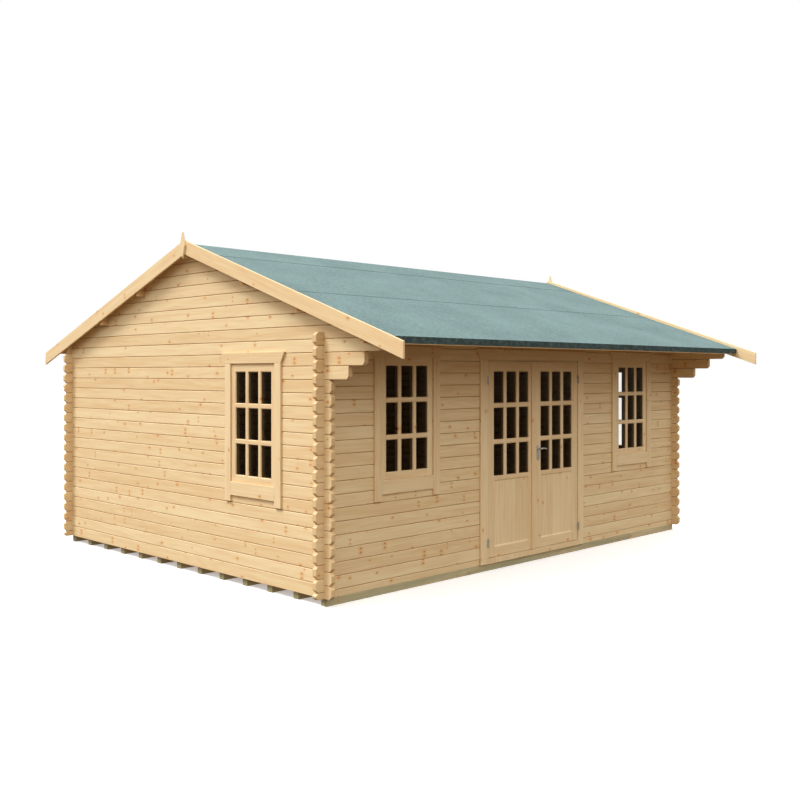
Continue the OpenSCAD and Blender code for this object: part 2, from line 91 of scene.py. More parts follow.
# Windows: frame and sash rail together, a pane and the bar over it, and the rails' reach from the middle
SASH_EDGE = 0.098
SASH_PANE = 0.2847
SASH_BAR = 0.045
SASH_HALF = 0.2645

# Furniture: half a hinge barrel, the thickness of the handle plates, the lock below their middle,
# the boss of the lever above it, and how far in from its ends the lever's axis lies
BARREL_R = 0.007
BARREL_L = 0.038
PLATE_T = 0.006
LOCK_Z = -0.026
BOSS_Z = 0.040
LEVER_R = 0.00995

# Two points closer than this are at one height
NEARLY = 1e-6

# Edges of metal pieces that bend by less than this are shaded smooth
SMOOTH_UNDER = math.radians(38)

# Floor bearers: their number and width, where their lengths meet, and half the gap there
BEARER_ROWS = 13
BEARER_W = 0.070
BEARER_JOINTS = (-1.054, 1.866)
BEARER_GAP = 0.0006


# ---------------------------------------------------------------- settings


def linear(code):
    """An sRGB hex colour such as #c0a070, as linear RGBA."""
    parts = [int(code[i:i + 2], 16) / 255 for i in (1, 3, 5)]
    return [p / 12.92 if p <= 0.04045 else ((p + 0.055) / 1.055) ** 2.4 for p in parts] + [1.0]


def colour_setting(name, description, code):
    return bpy.props.FloatVectorProperty(
        name=name, description=description, default=linear(code), size=4, min=0, max=1, subtype="COLOR")


class CabinTimber(bpy.types.PropertyGroup):
    """Sizes and colours of the boards and logs."""

    course: bpy.props.FloatProperty(
        name="Course height", description="Height of one log course", default=0.114,
        min=0.08, max=0.2, subtype="DISTANCE", unit="LENGTH")
    seam: bpy.props.FloatProperty(
        name="Seam", description="Half width of the dark gap between two logs", default=0.0016,
        min=0.0005, max=0.004, subtype="DISTANCE", unit="LENGTH")
    roof_board: bpy.props.FloatProperty(
        name="Roof board", description="Width of one roof board", default=0.098,
        min=0.06, max=0.2, subtype="DISTANCE", unit="LENGTH")
    floor_board: bpy.props.FloatProperty(
        name="Floor board", description="Width of one floor board", default=0.114,
        min=0.06, max=0.2, subtype="DISTANCE", unit="LENGTH")
    arris: bpy.props.FloatProperty(
        name="Arris", description="Bevel on the edges of planed boards", default=0.002,
        min=0.0005, max=0.004, subtype="DISTANCE", unit="LENGTH")
    seed: bpy.props.IntProperty(
        name="Seed", description="Changes the grain and tone of every board", default=7, min=0)
    log_light: colour_setting("Log wood", "Early wood of the logs", "#f0d8aa")
    log_dark: colour_setting("Log rings", "Late wood of the logs", "#d09f64")
    joinery_light: colour_setting("Joinery wood", "Early wood of door, windows and trims", "#f0d7ab")
    joinery_dark: colour_setting("Joinery rings", "Late wood of door, windows and trims", "#d2a56c")
    barge_light: colour_setting("Bargeboard wood", "Early wood of the bargeboards", "#f2daad")
    barge_dark: colour_setting("Bargeboard rings", "Late wood of the bargeboards", "#d8a86c")
    treated_light: colour_setting("Treated wood", "Early wood of the treated bearers", "#b9b08a")
    treated_dark: colour_setting("Treated rings", "Late wood of the treated bearers", "#8a805c")
    knot: colour_setting("Knots", "Hearts of the knots in planed wood", "#b4692f")
    amber: colour_setting("Round knots", "Resinous wood round the knots", "#e0a45c")
    pink: colour_setting("Blush", "Rosier streaks in the wood", "#eecfa2")


class CabinRoof(bpy.types.PropertyGroup):
    """Felt and its laps on the roof."""

    lap_step: bpy.props.FloatProperty(
        name="Lap step", description="Height of the step at the lower lap", default=0.0024,
        min=0.001, max=0.003, subtype="DISTANCE", unit="LENGTH")
    # Half width of the dark line below each lap: bitumen squeezed out, and painted shadow of the lap edge
    bleed_and_shadow: bpy.props.FloatProperty(
        name="Bitumen line", description="Half width of the bitumen squeezed out at each lap",
        default=0.006, min=0.002, max=0.012, subtype="DISTANCE", unit="LENGTH")
    chips_light: colour_setting("Light chips", "Lighter slate chips on the felt", "#768e8d")
    chips_dark: colour_setting("Dark chips", "Darker slate chips on the felt", "#475d5c")


class CabinFurniture(bpy.types.PropertyGroup):
    """Ironmongery of the door."""

    metal_light: colour_setting("Metal", "Satin metal of handles and hinges", "#d5d6d4")
    metal_dark: colour_setting("Handled metal", "Cloudy marks on handles and hinges", "#a5a6a4")


class CabinStage(bpy.types.PropertyGroup):
    """Camera, light and floor."""

    eye: bpy.props.FloatVectorProperty(
        name="Camera", description="Place of the camera", size=3, default=(-8.0936, -8.0883, 1.946),
        subtype="XYZ", unit="LENGTH")
    lens: bpy.props.FloatProperty(
        name="Lens", description="Focal length on a 36 mm sensor, in millimetres", default=43.45,
        min=20, max=200)
    turn: bpy.props.FloatProperty(
        name="Turn", description="Heading of the camera, from +Y towards +X",
        default=math.radians(45), subtype="ANGLE", unit="ROTATION")
    rise: bpy.props.FloatProperty(
        name="Shift", description="Vertical shift of the picture", default=-0.03305, min=-0.2, max=0.2)
    sky: bpy.props.FloatProperty(
        name="Ceiling", description="Strength of the white light overhead", default=1.45, min=0, max=3)
    low: bpy.props.FloatProperty(
        name="Surround", description="Strength of the light from round about", default=0.26, min=0, max=3)
    key: bpy.props.FloatProperty(
        name="Key", description="Strength of the key light", default=2.4, min=0, max=10)


def settings(kind):
    """One group of settings: timber, roof, furniture or stage."""
    return getattr(bpy.context.scene, "cabin_" + kind)


# ---------------------------------------------------------------- materials


def add(tree, kind, links=None, **properties):
    """Adds a node, sets its properties, and gives its inputs their values or links."""
    made = tree.nodes.new(kind)
    for key, value in properties.items():
        setattr(made, key, value)
    for key, value in (links or {}).items():
        if isinstance(value, bpy.types.Node):
            value = value.outputs[0]
        if isinstance(value, bpy.types.NodeSocket):
            tree.links.new(value, made.inputs[key])
        else:
            made.inputs[key].default_value = value
    return made


def new_material(name):
    """An empty material with a shader and an output."""
    found = bpy.data.materials.get(name)
    if found:
        bpy.data.materials.remove(found)
    made = bpy.data.materials.new(name)
    made.use_nodes = True
    made.node_tree.nodes.clear()
    shader = add(made.node_tree, "ShaderNodeBsdfPrincipled")
    add(made.node_tree, "ShaderNodeOutputMaterial", {"Surface": shader})
    return made, made.node_tree, shader


def board_grain(tree):
    """Grain of boards made here, from their own map and attributes: place, tone, end."""
    place = add(tree, "ShaderNodeUVMap", uv_map="grain")
    tone = add(tree, "ShaderNodeAttribute", attribute_name="tone")
    end = add(tree, "ShaderNodeAttribute", attribute_name="end")
    return place, tone.outputs["Fac"], end.outputs["Fac"], None


def log_grain(along, shift):
    """Grain of a log wall whose logs lie along X or Y, with the courses starting part of a log down."""

    def build(tree):
        timber = settings("timber")
        coords = add(tree, "ShaderNodeTexCoord")
        split = add(tree, "ShaderNodeSeparateXYZ", {0: coords.outputs["Object"]})
        facing = add(tree, "ShaderNodeSeparateXYZ", {0: coords.outputs["Normal"]})
        height = add(tree, "ShaderNodeMath", {0: split.outputs["Z"], 1: -FOOT}, operation="ADD")
        ratio = add(tree, "ShaderNodeMath", {0: height, 1: 1 / timber.course, 2: shift},
                    operation="MULTIPLY_ADD")
        course = add(tree, "ShaderNodeMath", {0: ratio}, operation="FLOOR")
        pick = add(tree, "ShaderNodeTexWhiteNoise", {"W": course}, noise_dimensions="1D")
        jump = add(tree, "ShaderNodeVectorMath", {0: pick.outputs["Color"], "Scale": 40.0},
                   operation="SCALE")
        other = "Y" if along == "X" else "X"
        place = add(tree, "ShaderNodeCombineXYZ",
                    {0: split.outputs[along], 1: split.outputs["Z"], 2: split.outputs[other]})
        moved = add(tree, "ShaderNodeVectorMath", {0: place, 1: jump}, operation="ADD")
        side = add(tree, "ShaderNodeMath", {0: facing.outputs[along]}, operation="ABSOLUTE")
        end = add(tree, "ShaderNodeMath", {0: side, 1: 0.7}, operation="GREATER_THAN")
        near = add(tree, "ShaderNodeMath", {0: ratio, 1: 0.5}, operation="PINGPONG")
        half = timber.seam / timber.course
        seam = add(tree, "ShaderNodeMapRange",
                   {0: near, 1: half, 2: half * 2, 3: 0.8, 4: 0.0}, interpolation_type="SMOOTHSTEP")
        return moved, pick.outputs["Value"], end, seam

    return build


def joinery_grain(across, middle, inner, rails):
    """Grain of a framed piece: upright, but level inside `inner` of the middle at the heights in `rails`."""

    def build(tree):
        coords = add(tree, "ShaderNodeTexCoord")
        split = add(tree, "ShaderNodeSeparateXYZ", {0: coords.outputs["Object"]})
        shifted = add(tree, "ShaderNodeMath", {0: split.outputs[across], 1: -middle}, operation="ADD")
        if inner[0] > 0:
            shifted = add(tree, "ShaderNodeMath", {0: shifted}, operation="ABSOLUTE")
        within = add(tree, "ShaderNodeMath",
                     {0: shifted, 1: (inner[0] + inner[1]) / 2, 2: (inner[1] - inner[0]) / 2},
                     operation="COMPARE")
        level = None
        for low, high in rails:
            hit = add(tree, "ShaderNodeMath",
                      {0: split.outputs["Z"], 1: (low + high) / 2, 2: (high - low) / 2},
                      operation="COMPARE")
            level = hit if level is None else add(
                tree, "ShaderNodeMath", {0: level, 1: hit}, operation="MAXIMUM")
        mask = add(tree, "ShaderNodeMath", {0: level, 1: within}, operation="MULTIPLY")
        other = "Y" if across == "X" else "X"
        upright = add(tree, "ShaderNodeCombineXYZ",
                      {0: split.outputs["Z"], 1: split.outputs[across], 2: split.outputs[other]})
        lying = add(tree, "ShaderNodeCombineXYZ",
                    {0: split.outputs[across], 1: split.outputs["Z"], 2: split.outputs[other]})
        place = add(tree, "ShaderNodeMixRGB", {0: mask, 1: upright, 2: lying})
        side = add(tree, "ShaderNodeMath", {0: split.outputs[across], 1: 3.1}, operation="MULTIPLY")
        member = add(tree, "ShaderNodeMath", {0: side}, operation="FLOOR")
        stack = add(tree, "ShaderNodeMath", {0: split.outputs["Z"], 1: 2.3}, operation="MULTIPLY")
        shelf = add(tree, "ShaderNodeMath", {0: stack}, operation="FLOOR")
        key = add(tree, "ShaderNodeMixRGB", {0: mask, 1: member, 2: shelf})
        pick = add(tree, "ShaderNodeTexWhiteNoise", {"Vector": key}, noise_dimensions="3D")
        return place, pick.outputs["Value"], 0.0, None

    return build


def timber_material(name, grain, light, dark, knot, knots=0.5, roughness=0.62):
    """Planed softwood: soft ring contours along the grain, round knots, and ringed end grain."""
    timber = settings("timber")
    made, tree, shader = new_material(name)
    place, tone, end, seam = grain(tree)

    # Rings show as long contours: a smooth field stretched along the grain, cut into bands
    bend = add(tree, "ShaderNodeVectorMath", {0: place, 1: (0.5, 7.0, 7.0)}, operation="MULTIPLY")
    field = add(tree, "ShaderNodeTexNoise", {"Vector": bend, "Scale": 1.0, "Detail": 1.0})
    bands = add(tree, "ShaderNodeMath", {0: field.outputs[0], 1: 26.0}, operation="MULTIPLY")
    ring = add(tree, "ShaderNodeMath", {0: bands, 1: 1.0}, operation="PINGPONG")
    # Fibres, 2 to 4 mm across and drawn out along the board
    thin = add(tree, "ShaderNodeVectorMath", {0: place, 1: (4.0, 190.0, 190.0)}, operation="MULTIPLY")
    fibre = add(tree, "ShaderNodeTexNoise", {"Vector": thin, "Scale": 1.0, "Detail": 3.0})
    # Slow drifts of colour along a board, about half a metre long and 40 mm wide
    wide = add(tree, "ShaderNodeVectorMath", {0: place, 1: (1.6, 24.0, 24.0)}, operation="MULTIPLY")
    drift = add(tree, "ShaderNodeTexNoise", {"Vector": wide, "Scale": 1.0, "Detail": 2.0})

    grainy = add(tree, "ShaderNodeMapRange", {0: ring, 1: 0.3, 2: 1.0, 3: 0.0, 4: 0.12})
    fuzzy = add(tree, "ShaderNodeMapRange", {0: fibre.outputs[0], 1: 0.35, 2: 0.75, 3: 0.0, 4: 0.14})
    toned = add(tree, "ShaderNodeMapRange", {0: tone, 1: 0.0, 2: 1.0, 3: -0.08, 4: 0.20})
    drifts = add(tree, "ShaderNodeMapRange", {0: drift.outputs[0], 1: 0.35, 2: 0.7, 3: -0.05, 4: 0.20})
    total = grainy
    for part in (fuzzy, toned, drifts):
        total = add(tree, "ShaderNodeMath", {0: total, 1: part}, operation="ADD")
    blush = add(tree, "ShaderNodeMapRange", {0: drift.outputs["Color"], 1: 0.42, 2: 0.62, 3: 0.0, 4: 0.55})
    ground = add(tree, "ShaderNodeMixRGB", {0: blush, 1: light, 2: timber.pink})
    body = add(tree, "ShaderNodeMixRGB", {0: total, 1: ground, 2: dark}, use_clamp=True)

    # Knots 12 to 24 mm across in amber wood, often with a twin 36 mm to one side
    spotted = body
    relief_at = total
    for twin in (0.0, 0.036):
        moved = add(tree, "ShaderNodeVectorMath", {0: place, 1: (0.0, twin, 0.0)}, operation="ADD")
        spots = add(tree, "ShaderNodeVectorMath", {0: moved, 1: (3.4, 5.2, 0.0)}, operation="MULTIPLY")
        cells = add(tree, "ShaderNodeTexVoronoi", {"Vector": spots, "Scale": 1.0}, voronoi_dimensions="2D")
        chance = add(tree, "ShaderNodeSeparateColor", {0: cells.outputs["Color"]})
        source = chance.outputs[2] if twin else chance.outputs[0]
        shown = add(tree, "ShaderNodeMath", {0: source, 1: 1 - knots}, operation="GREATER_THAN")
        size = add(tree, "ShaderNodeMapRange", {0: chance.outputs[1], 1: 0.0, 2: 1.0, 3: 0.022, 4: 0.050})
        reach = add(tree, "ShaderNodeMath", {0: cells.outputs["Distance"], 1: size}, operation="DIVIDE")
        core = add(tree, "ShaderNodeMapRange", {0: reach, 1: 0.4, 2: 1.2, 3: 0.85, 4: 0.0},
                   interpolation_type="SMOOTHSTEP")
        halo = add(tree, "ShaderNodeMapRange", {0: reach, 1: 1.0, 2: 3.6, 3: 0.45, 4: 0.0},
                   interpolation_type="SMOOTHSTEP")
        knotty = add(tree, "ShaderNodeMath", {0: core, 1: shown}, operation="MULTIPLY")
        glow = add(tree, "ShaderNodeMath", {0: halo, 1: shown}, operation="MULTIPLY")
        warm = add(tree, "ShaderNodeMixRGB", {0: glow, 1: spotted, 2: timber.amber})
        spotted = add(tree, "ShaderNodeMixRGB", {0: knotty, 1: warm, 2: knot})
        relief_at = add(tree, "ShaderNodeMath", {0: relief_at, 1: knotty}, operation="SUBTRACT")

    # End grain is darker, with rings a few millimetres apart
    rings = add(tree, "ShaderNodeTexWave", {"Vector": place, "Scale": 42.0, "Distortion": 2.0},
                wave_type="RINGS", rings_direction="SPHERICAL")
    cut = add(tree, "ShaderNodeMapRange", {0: rings.outputs["Fac"], 1: 0.0, 2: 1.0, 3: 0.35, 4: 0.75})
    face = add(tree, "ShaderNodeMixRGB", {0: cut, 1: light, 2: dark})
    ended = add(tree, "ShaderNodeMixRGB", {0: end, 1: spotted, 2: face})
    colour = ended
    if seam:
        colour = add(tree, "ShaderNodeMixRGB", {0: seam, 1: ended, 2: linear("#8a5628")})
    tree.links.new(colour.outputs[0], shader.inputs["Base Color"])

    rough = add(tree, "ShaderNodeMapRange",
                {0: fibre.outputs[0], 1: 0.3, 2: 0.8, 3: roughness - 0.06, 4: roughness + 0.1})
    tree.links.new(rough.outputs[0], shader.inputs["Roughness"])
    bump = add(tree, "ShaderNodeBump", {"Height": relief_at, "Strength": 0.25, "Distance": 0.0008})
    tree.links.new(bump.outputs[0], shader.inputs["Normal"])
    return made


def felt_material(name, lines):
    """Mineral roofing felt: a bitumen sheet with coarse green slate chips pressed into its face."""
    roof = settings("roof")
    made, tree, shader = new_material(name)
    coords = add(tree, "ShaderNodeTexCoord")
    place = coords.outputs["Object"]
    facing = add(tree, "ShaderNodeSeparateXYZ", {0: coords.outputs["Normal"]})
    # Chips are about 1 mm; they are drawn 4 mm across, so that they show
    chips = add(tree, "ShaderNodeTexVoronoi", {"Vector": place, "Scale": 260.0})
    shade = add(tree, "ShaderNodeSeparateColor", {0: chips.outputs["Color"]})
    cloud = add(tree, "ShaderNodeTexNoise", {"Vector": place, "Scale": 1.7, "Detail": 4.0})
    blot = add(tree, "ShaderNodeTexNoise", {"Vector": place, "Scale": 34.0, "Detail": 3.0})
    base = add(tree, "ShaderNodeMapRange", {0: shade.outputs[0], 1: 0.0, 2: 1.0, 3: 0.0, 4: 0.62})
    patch = add(tree, "ShaderNodeMapRange", {0: cloud.outputs[0], 1: 0.3, 2: 0.7, 3: -0.08, 4: 0.2})
    fleck = add(tree, "ShaderNodeMapRange", {0: blot.outputs[0], 1: 0.35, 2: 0.7, 3: -0.05, 4: 0.25})
    total = add(tree, "ShaderNodeMath", {0: base, 1: patch}, operation="ADD")
    whole = add(tree, "ShaderNodeMath", {0: total, 1: fleck}, operation="ADD")
    green = add(tree, "ShaderNodeMixRGB", {0: whole, 1: roof.chips_light, 2: roof.chips_dark},
                use_clamp=True)
    # Painted shade: the turned-down edge, facing front or back, is darkened in patches as if in shadow; a
    # line below each lap is darkened, partly painted shadow of the lap edge and partly bitumen squeezed out
    # there
    across = add(tree, "ShaderNodeMath", {0: facing.outputs["Y"]}, operation="ABSOLUTE")
    turned = add(tree, "ShaderNodeMath", {0: across, 1: 0.7}, operation="GREATER_THAN")
    patchy_edge_shade = add(tree, "ShaderNodeMapRange", {0: blot.outputs[0], 1: 0.3, 2: 0.6, 3: 0.62, 4: 0.95})
    painted_shade_and_bitumen = add(tree, "ShaderNodeMath", {0: turned, 1: patchy_edge_shade}, operation="MULTIPLY")
    split = add(tree, "ShaderNodeSeparateXYZ", {0: place})
    out = add(tree, "ShaderNodeMath", {0: split.outputs["Y"]}, operation="ABSOLUTE")
    wander = add(tree, "ShaderNodeMath", {0: blot.outputs[0], 1: 0.004, 2: -0.002}, operation="MULTIPLY_ADD")
    near = add(tree, "ShaderNodeMath", {0: out, 1: wander}, operation="ADD")
    for at in lines:
        line = add(tree, "ShaderNodeMath", {0: near, 1: at + roof.bleed_and_shadow, 2: roof.bleed_and_shadow}, operation="COMPARE")
        part = add(tree, "ShaderNodeMath", {0: line, 1: 0.75}, operation="MULTIPLY")
        painted_shade_and_bitumen = add(tree, "ShaderNodeMath", {0: painted_shade_and_bitumen, 1: part}, operation="MAXIMUM")
    colour = add(tree, "ShaderNodeMixRGB", {0: painted_shade_and_bitumen, 1: green, 2: linear("#2f3c3a")})
    tree.links.new(colour.outputs[0], shader.inputs["Base Color"])
    shader.inputs["Roughness"].default_value = 0.92
    shader.inputs["Specular IOR Level"].default_value = 0.3
    ripple = add(tree, "ShaderNodeTexNoise", {"Vector": place, "Scale": 5.0, "Detail": 2.0})
    wave = add(tree, "ShaderNodeMath", {0: ripple.outputs[0], 1: 5.0}, operation="MULTIPLY")
    raised = add(tree, "ShaderNodeMath", {0: chips.outputs["Distance"], 1: wave}, operation="ADD")
    bump = add(tree, "ShaderNodeBump", {"Height": raised, "Strength": 0.5, "Distance": 0.0012})
    tree.links.new(bump.outputs[0], shader.inputs["Normal"])
    return made


def glass_material(name):
    """Clear float glass with the faintest dust, which mirrors little of the pale surroundings."""
    made, tree, shader = new_material(name)
    place = add(tree, "ShaderNodeTexCoord").outputs["Object"]
    dust = add(tree, "ShaderNodeTexNoise", {"Vector": place, "Scale": 9.0, "Detail": 4.0})
    tint = add(tree, "ShaderNodeMixRGB",
               {0: dust.outputs[0], 1: linear("#ffffff"), 2: linear("#f2f6f4")})
    # Light that has already been scattered is dimmed here, so the closed room is dark behind the
    # panes. The index is under that of real glass, about 1.5, so that reflections stay faint.
    path = add(tree, "ShaderNodeLightPath")
    shaded = add(tree, "ShaderNodeMixRGB",
                 {0: path.outputs["Is Diffuse Ray"], 1: tint, 2: linear("#33271a")})
    tree.links.new(shaded.outputs[0], shader.inputs["Base Color"])
    haze = add(tree, "ShaderNodeMapRange", {0: dust.outputs[0], 1: 0.5, 2: 0.9, 3: 0.0, 4: 0.05})
    tree.links.new(haze.outputs[0], shader.inputs["Roughness"])
    shader.inputs["Transmission Weight"].default_value = 1.0
    shader.inputs["IOR"].default_value = 1.12
    shader.inputs["Specular IOR Level"].default_value = 0.02
    return made


def metal_material(name, light, dark):
    """Satin nickel-plated brass, brushed, with cloudy handling marks: a soft grey sheen, not a mirror."""
    made, tree, shader = new_material(name)
    place = add(tree, "ShaderNodeTexCoord").outputs["Object"]
    lines = add(tree, "ShaderNodeVectorMath", {0: place, 1: (900.0, 900.0, 40.0)}, operation="MULTIPLY")
    brush = add(tree, "ShaderNodeTexNoise", {"Vector": lines, "Scale": 1.0, "Detail": 2.0})
    cloud = add(tree, "ShaderNodeTexNoise", {"Vector": place, "Scale": 45.0, "Detail": 2.0})
    colour = add(tree, "ShaderNodeMixRGB", {0: cloud.outputs[0], 1: light, 2: dark})
    tree.links.new(colour.outputs[0], shader.inputs["Base Color"])
    shader.inputs["Metallic"].default_value = 0.75
    rough = add(tree, "ShaderNodeMapRange", {0: brush.outputs[0], 1: 0.3, 2: 0.7, 3: 0.42, 4: 0.55})
    tree.links.new(rough.outputs[0], shader.inputs["Roughness"])
    bump = add(tree, "ShaderNodeBump", {"Height": brush.outputs[0], "Strength": 0.15, "Distance": 0.0002})
    tree.links.new(bump.outputs[0], shader.inputs["Normal"])
    return made


def dress(material, *nodes):
    """Gives CAD nodes a material."""
    for name in nodes:
        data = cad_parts[name].data
        data.materials.clear()
        data.materials.append(material)


# ---------------------------------------------------------------- boards


class Boards:
    """A mesh of separate boards, each with its grain laid out along its own length."""

    def __init__(self, seed):
        self.bm = bmesh.new()
        self.map = self.bm.loops.layers.uv.new("grain")
        self.tone = self.bm.faces.layers.float.new("tone")
        self.end = self.bm.faces.layers.float.new("end")
        self.dice = random.Random(seed)

    def board(self, outline, place, length, grain, arris=0.0):
        """Adds a board: `outline` drawn in X and Y of `place`, pushed `length` along its Z."""
        bm = self.bm
        ring = [bm.verts.new(place @ Vector((x, y, 0))) for x, y in outline]
        face = bm.faces.new(ring)
        grown = bmesh.ops.extrude_face_region(bm, geom=[face])["geom"]
        top = [v for v in grown if isinstance(v, bmesh.types.BMVert)]
        push = place.to_3x3() @ Vector((0, 0, length))
        bmesh.ops.translate(bm, vec=push, verts=top)
        verts = set(ring) | set(top)
        faces = {f for v in verts for f in v.link_faces}
        bmesh.ops.recalc_face_normals(bm, faces=list(faces))
        if arris:
            edges = {e for v in verts for e in v.link_edges}
            made = bmesh.ops.bevel(bm, geom=list(edges), offset=arris, segments=1, profile=0.5,
                                   affect="EDGES", material=-1, clamp_overlap=True)
            verts = set(made["verts"]) | {v for v in verts if v.is_valid}
            faces = {f for v in verts for f in v.link_faces}
        along = (place.to_3x3() @ Vector(grain)).normalized()
        jump = (self.dice.uniform(-30, 30), self.dice.uniform(-30, 30))
        tone = self.dice.random()
        for f in faces:
            cross = f.normal.cross(along)
            f[self.tone] = tone
            f[self.end] = 1.0 if abs(f.normal.dot(along)) > 0.75 else 0.0
            if cross.length < 0.3:
                first = along.orthogonal().normalized()
                second = along.cross(first)
            else:
                first, second = along, cross.normalized()
            for loop in f.loops:
                point = loop.vert.co
                loop[self.map].uv = (point.dot(first) + jump[0], point.dot(second) + jump[1])

    def finish(self, name, material, slot, *nodes):
        """Makes the piece, which belongs to the cabin and may stand for CAD nodes."""
        make_piece(name, self.bm, material, slot, "cabin", *nodes)


def make_piece(name, bm, material, slot, body, *nodes):
    """Makes a piece, which rides on a body and may stand for CAD nodes."""
    data = bpy.data.meshes.new(name)
    bm.to_mesh(data)
    bm.free()
    data.materials.append(material)
    piece = bpy.data.objects.new(name, data)
    bpy.context.scene.collection.objects.link(piece)
    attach(piece, body)
    if nodes:
        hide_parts(*nodes)


def box_outline(x0, x1, y0, y1):
    return [(x0, y0), (x1, y0), (x1, y1), (x0, y1)]


def lying(axis):
    """A matrix whose Z is the world's X or Y, and whose Y is up."""
    if axis == "X":
        return Matrix(((0, 0, 1, 0), (1, 0, 0, 0), (0, 1, 0, 0), (0, 0, 0, 1)))
    return Matrix(((-1, 0, 0, 0), (0, 0, 1, 0), (0, 1, 0, 0), (0, 0, 0, 1)))


def drawn(bm, stations, segments=20):
    """A closed round bar pulled through stations, each a matrix that holds its place and section."""
    ring = bmesh.ops.create_circle(bm, cap_ends=True, segments=segments, radius=1.0, matrix=stations[0])
    verts = list(ring["verts"])
    face = verts[0].link_faces[0]
    for before, after in zip(stations, stations[1:]):
        grown = bmesh.ops.extrude_face_region(bm, geom=[face])["geom"]
        fresh = [v for v in grown if isinstance(v, bmesh.types.BMVert)]
        face = next(f for f in grown if isinstance(f, bmesh.types.BMFace))
        bmesh.ops.transform(bm, matrix=after @ before.inverted(), verts=fresh)
        verts += fresh
    faces = {f for v in verts for f in v.link_faces}
    bmesh.ops.recalc_face_normals(bm, faces=list(faces))
    return verts


def fitting(name, bm, material, body, *nodes):
    """Makes a metal piece with soft shading, which rides on a body and may stand for CAD nodes."""
    for face in bm.faces:
        face.smooth = True
    for edge in bm.edges:
        edge.smooth = edge.calc_face_angle(0.0) < SMOOTH_UNDER
    make_piece(name, bm, material, "satin_metal", body, *nodes)


def facing_front(x, y, z, turn=1.0):
    """A matrix at a place, whose Z points to the front of the cabin, or to the back for turn -1."""
    return Matrix.Translation((x, y, z)) @ Matrix.Rotation(turn * math.pi / 2, 4, "X")


# ---------------------------------------------------------------- operators


class CABIN_OT_logs(bpy.types.Operator):
    """Spruce finish of the log walls"""

    bl_idname = "cabin.logs"
    bl_label = "Log Walls"

    def execute(self, context):
        timber = settings("timber")
        face = dict(light=timber.log_light, dark=timber.log_dark, knot=timber.knot, knots=0.6)
        front = timber_material("planed_spruce_logs", log_grain("X", 0.5), **face)
        gable = timber_material("planed_spruce_gable_logs", log_grain("Y", 0.0), **face)
        dress(front, "front_wall_left", "front_wall_right", "front_wall_top", "back_wall")
        dress(gable, "left_gable_wall", "left_gable_peak", "right_gable_wall", "right_gable_peak")
        return {"FINISHED"}


class CABIN_OT_roof(bpy.types.Operator):
    """Roof boards, purlins, battens and felt with its laps"""

    bl_idname = "cabin.roof"
    bl_label = "Roof"

    def execute(self, context):
        timber, roof = settings("timber"), settings("roof")
        dark_knot = linear("#6b3d1c")
        wood = timber_material("sawn_spruce_roof_boards", board_grain, linear("#d8ad74"),
                               linear("#a8753f"), dark_knot)
        for side, node in ((-1, "front_roof_boards"), (1, "back_roof_boards")):
            low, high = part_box(node)
            reach = max(abs(low.y), abs(high.y))
            thick = ROOF_BOARD_T / math.cos(PITCH)
            fall = reach * math.tan(PITCH)
            outline = [(0, high.z), (side * reach, high.z - fall),
                       (side * reach, high.z - fall - thick), (0, high.z - thick)]
            boards = Boards(timber.seed + side)
            count = round((high.x - low.x) / timber.roof_board)
            width = (high.x - low.x) / count
            for i in range(count):
                place = Matrix.Translation((low.x + i * width, 0, 0)) @ lying("X")
                boards.board(outline, place, width, (side * math.cos(PITCH), -math.sin(PITCH), 0), 0.0022)
            boards.finish(f"{node.split('_')[0]}_slope_boards", wood, "roof_wood", node)
        beams = timber_material("planed_spruce_beams", log_grain("X", 0.0), linear("#dcb27a"),
                                linear("#ad7a44"), dark_knot)
        dress(beams, "roof_purlins", "eaves_battens")
        cap = felt_material("green_mineral_felt_cap", ())
        sheet = felt_material("green_mineral_felt", LAPS)
        dress(sheet, "front_roof_felt", "back_roof_felt")
        dress(cap, "ridge_felt")
        # The upper sheet of each slope laps over the lower one
        for side, node in ((-1, "front_roof_felt"), (1, "back_roof_felt")):
            low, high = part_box(node)
            start, end = LAPS[0] - LAP_START, LAPS[1]
            outline = [(side * y, high.z - y * math.tan(PITCH) + lift)
                       for y, lift in ((start, 0.0), (start, roof.lap_step),
                                       (end - LAP_EDGE, roof.lap_step), (end, 0.0))]
            strip = Boards(timber.seed)
            strip.board(outline, Matrix.Translation((low.x, 0, 0)) @ lying("X"), high.x - low.x, (0, 0, 1))
            felt = felt_material(f"green_mineral_felt_{node}_lap", LAPS[:1])
            strip.finish(f"{node}_upper_sheet", felt, "roof_felt")
        return {"FINISHED"}


class CABIN_OT_bargeboards(bpy.types.Operator):
    """Bargeboards and finials"""

    bl_idname = "cabin.bargeboards"
    bl_label = "Bargeboards"

    def execute(self, context):
        timber = settings("timber")
        wood = timber_material("planed_spruce_bargeboards", board_grain, timber.barge_light,
                               timber.barge_dark, timber.knot)
        for gable in ("left", "right"):
            for slope, side in (("front", -1), ("back", 1)):
                node = f"{gable}_{slope}_bargeboard"
                low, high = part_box(node)
                reach = max(abs(low.y), abs(high.y))
                plumb = BARGE_W / math.cos(PITCH)
                fall = (high.z - low.z) - plumb
                outline = [(0, high.z), (side * reach, high.z - fall),
                           (side * reach, low.z), (0, high.z - plumb)]
                boards = Boards(timber.seed + len(node) + side)
                place = Matrix.Translation((low.x, 0, 0)) @ lying("X")
                boards.board(outline, place, high.x - low.x,
                             (side * math.cos(PITCH), -math.sin(PITCH), 0), timber.arris)
                boards.finish(f"{node}_piece", wood, "barge_wood", node)
        low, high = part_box("gable_finials")
        boards = Boards(timber.seed + 50)
        middle = (low.z + high.z) / 2
        outline = [(0, low.z), (high.y, middle), (0, high.z), (low.y, middle)]
        board_low, board_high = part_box("left_front_bargeboard")
        thick = board_high.x - board_low.x
        for x in (low.x, high.x - thick):
            boards.board(outline, Matrix.Translation((x, 0, 0)) @ lying("X"), thick, (0, 1, 0), timber.arris)
        boards.finish("finial_boards", wood, "barge_wood", "gable_finials")
        return {"FINISHED"}


